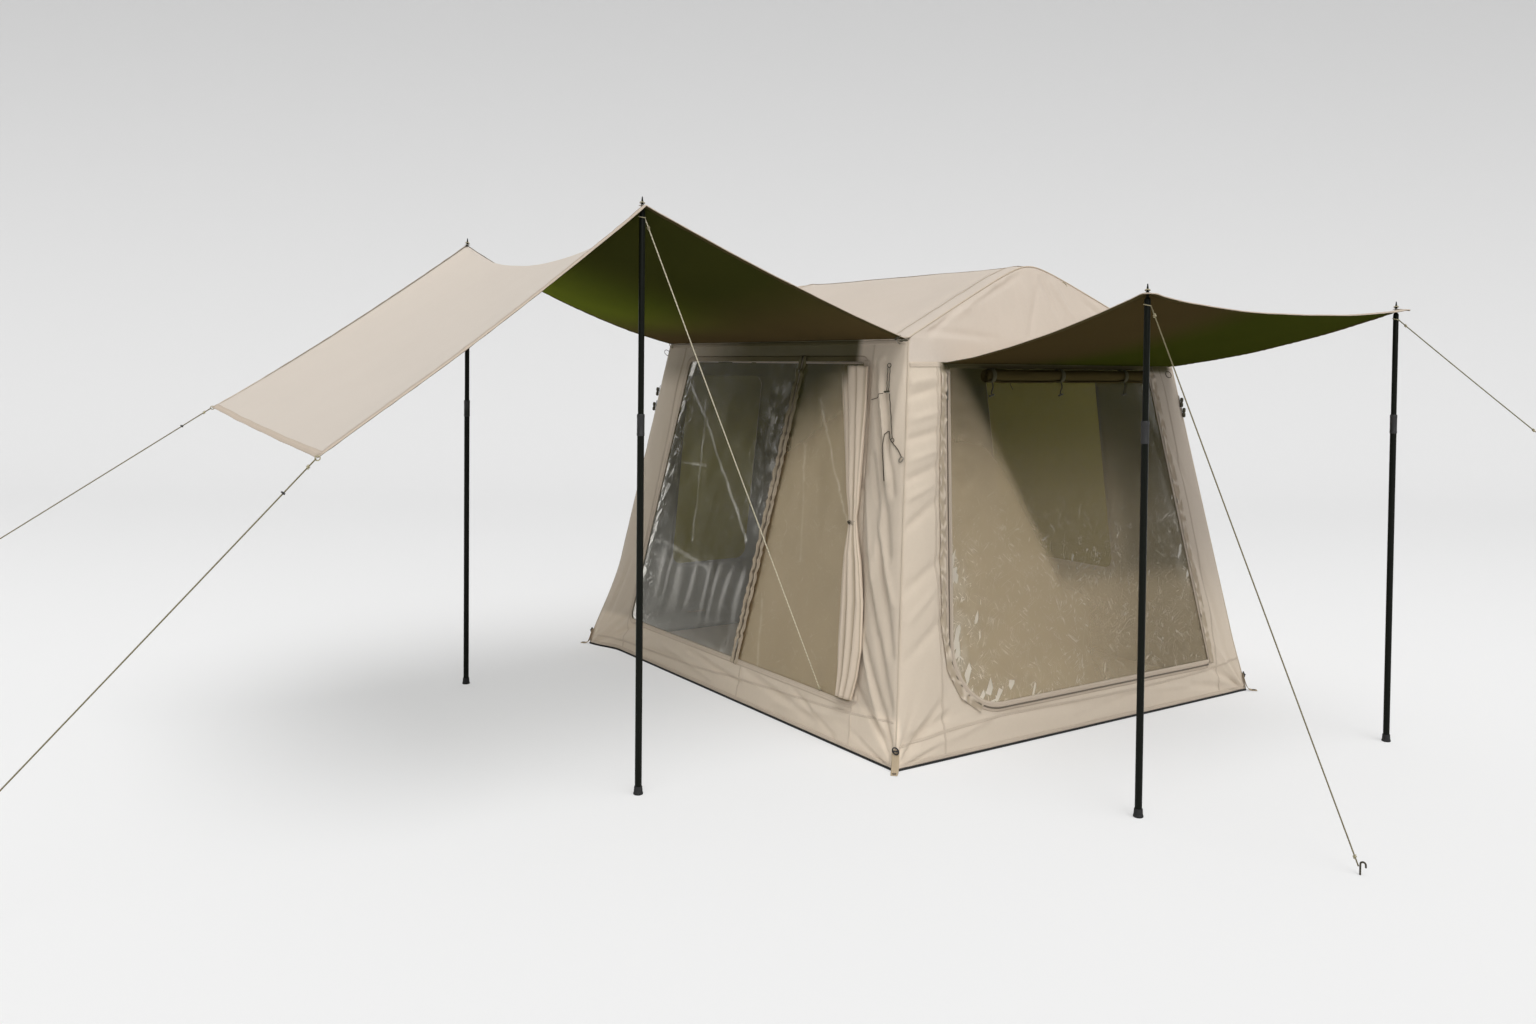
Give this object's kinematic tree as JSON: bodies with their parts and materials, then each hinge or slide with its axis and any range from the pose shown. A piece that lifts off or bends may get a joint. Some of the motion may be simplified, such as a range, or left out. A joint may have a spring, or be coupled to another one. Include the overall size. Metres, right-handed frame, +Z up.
{
  "type": "inflatable camping tent",
  "caption": "Inflatable cabin tent with a hipped body on air-filled arches, a large pole-held awning over its clear door side and a small one over its clear gable window",
  "frame": {"origin": "on the ground, under the middle of the tent's floor", "axes": "+Z up, -X out of the door side under the large awning, -Y out of the gable end under the small awning"},
  "size_m": [6.6506, 4.1823, 2.185],
  "materials": {
    "sand_cloth": "woven polyester cotton, matte",
    "awning_cloth": "coated polyester, matte",
    "clear_vinyl": "clear flexible film",
    "groundsheet_black": "coated sheet",
    "bladder_grey": "sleeved air bladder",
    "black_rubber": "moulded",
    "black_tube": "semi-gloss black",
    "black_collar": "moulded, fluted",
    "dark_steel": "dark zinc",
    "zip_metal": "dark enamel",
    "brown_tape": "woven tape",
    "sand_cord": "braided cord",
    "dark_plastic": "moulded"
  },
  "bodies": {
    "tent": {"groundsheet": "groundsheet_black", "wall_west": "sand_cloth", "wall_south": "sand_cloth", "wall_east": "sand_cloth", "wall_north": "sand_cloth", "roof_canopy": "sand_cloth", "gable_south": "sand_cloth", "gable_north": "sand_cloth", "air_arch_south": "bladder_grey", "air_arch_north": "bladder_grey", "air_beam_ridge": "bladder_grey", "air_beam_west": "bladder_grey", "air_beam_east": "bladder_grey", "valve_body": "black_rubber", "clear_window_west": "clear_vinyl", "clear_door_west": "clear_vinyl", "clear_window_south": "clear_vinyl", "window_cover_east": "sand_cloth", "window_cover_north": "sand_cloth", "zip_track_west": "brown_tape", "zip_track_south": "brown_tape", "door_curtain": "sand_cloth", "curtain_tie": "sand_cord", "rolled_cover_south": "sand_cloth", "awning_west": "awning_cloth", "awning_south": "awning_cloth", "pole_west_south_upper": "black_tube", "pole_west_north_upper": "black_tube", "pole_south_west_upper": "black_tube", "pole_south_east_upper": "black_tube", "guy_flap_far": "sand_cord", "guy_flap_near": "sand_cord", "guy_pole_west": "sand_cord", "guy_pole_south": "sand_cord", "guy_pole_east": "sand_cord", "peg_flap_far": "dark_steel", "peg_flap_near": "dark_steel", "peg_south": "dark_steel", "corner_tab_south_west": "brown_tape", "corner_tab_south_east": "brown_tape", "corner_tab_north_west": "brown_tape", "corner_tab_north_east": "brown_tape"},
    "leg_west_south": {"pole_west_south_lower": "black_tube", "pole_west_south_foot": "black_rubber"},
    "collar_west_south": {"pole_west_south_collar": "black_collar"},
    "leg_west_north": {"pole_west_north_lower": "black_tube", "pole_west_north_foot": "black_rubber"},
    "collar_west_north": {"pole_west_north_collar": "black_collar"},
    "leg_south_west": {"pole_south_west_lower": "black_tube", "pole_south_west_foot": "black_rubber"},
    "collar_south_west": {"pole_south_west_collar": "black_collar"},
    "leg_south_east": {"pole_south_east_lower": "black_tube", "pole_south_east_foot": "black_rubber"},
    "collar_south_east": {"pole_south_east_collar": "black_collar"},
    "slider_west": {"zip_slider_west": "zip_metal"},
    "slider_south": {"zip_slider_south": "zip_metal"},
    "valve_cap": {"valve_cap": "black_rubber"},
    "valve_plunger": {"valve_plunger": "black_rubber"},
    "runner_far": {"runner_flap_far": "dark_plastic"},
    "runner_near": {"runner_flap_near": "dark_plastic"}
  },
  "joints": [
    {"name": "pole_west_south_slide", "type": "slide", "parent": "tent", "child": "leg_west_south", "axis": [0, 0, 1], "range_m": [0, 0.65]},
    {"name": "pole_west_south_twist", "type": "hinge", "parent": "leg_west_south", "child": "collar_west_south", "pos_m": [-2.08, -0.98, 1.356], "axis": [0, 0, 1], "range_deg": [0, 90]},
    {"name": "pole_west_north_slide", "type": "slide", "parent": "tent", "child": "leg_west_north", "axis": [0, 0, 1], "range_m": [0, 0.65]},
    {"name": "pole_west_north_twist", "type": "hinge", "parent": "leg_west_north", "child": "collar_west_north", "pos_m": [-2.08, 0.83, 1.356], "axis": [0, 0, 1], "range_deg": [0, 90]},
    {"name": "pole_south_west_slide", "type": "slide", "parent": "tent", "child": "leg_south_west", "axis": [0, 0, 1], "range_m": [0, 0.33]},
    {"name": "pole_south_west_twist", "type": "hinge", "parent": "leg_south_west", "child": "collar_south_west", "pos_m": [-0.7, -2.12, 1.356], "axis": [0, 0, 1], "range_deg": [0, 90]},
    {"name": "pole_south_east_slide", "type": "slide", "parent": "tent", "child": "leg_south_east", "axis": [0, 0, 1], "range_m": [0, 0.33]},
    {"name": "pole_south_east_twist", "type": "hinge", "parent": "leg_south_east", "child": "collar_south_east", "pos_m": [0.91, -2.12, 1.356], "axis": [0, 0, 1], "range_deg": [0, 90]},
    {"name": "zip_west_run", "type": "slide", "parent": "tent", "child": "slider_west", "axis": [0.1609, -0.142, 0.9767], "range_m": [-0.05, 1.3]},
    {"name": "zip_south_run", "type": "slide", "parent": "tent", "child": "slider_south", "axis": [-0.1125, -0.1615, -0.9804], "range_m": [-0.04, 1]},
    {"name": "valve_cap_flip", "type": "hinge", "parent": "tent", "child": "valve_cap", "pos_m": [0.94906, 1.16224, 0.33435], "axis": [0.1604, 0.1604, -0.9739], "range_deg": [0, 110]},
    {"name": "valve_plunger_press", "type": "slide", "parent": "tent", "child": "valve_plunger", "axis": [0.6887, 0.6887, 0.2269], "range_m": [0, 0.005], "stiffness_N_per_m": 300, "springref_m": -0.002},
    {"name": "runner_far_slide", "type": "slide", "parent": "tent", "child": "runner_far", "axis": [-0.8352, -0.0122, -0.5498], "range_m": [0, 0.12]},
    {"name": "runner_near_slide", "type": "slide", "parent": "tent", "child": "runner_near", "axis": [-0.6785, 0.0466, -0.7331], "range_m": [0, 0.12]}
  ]
}
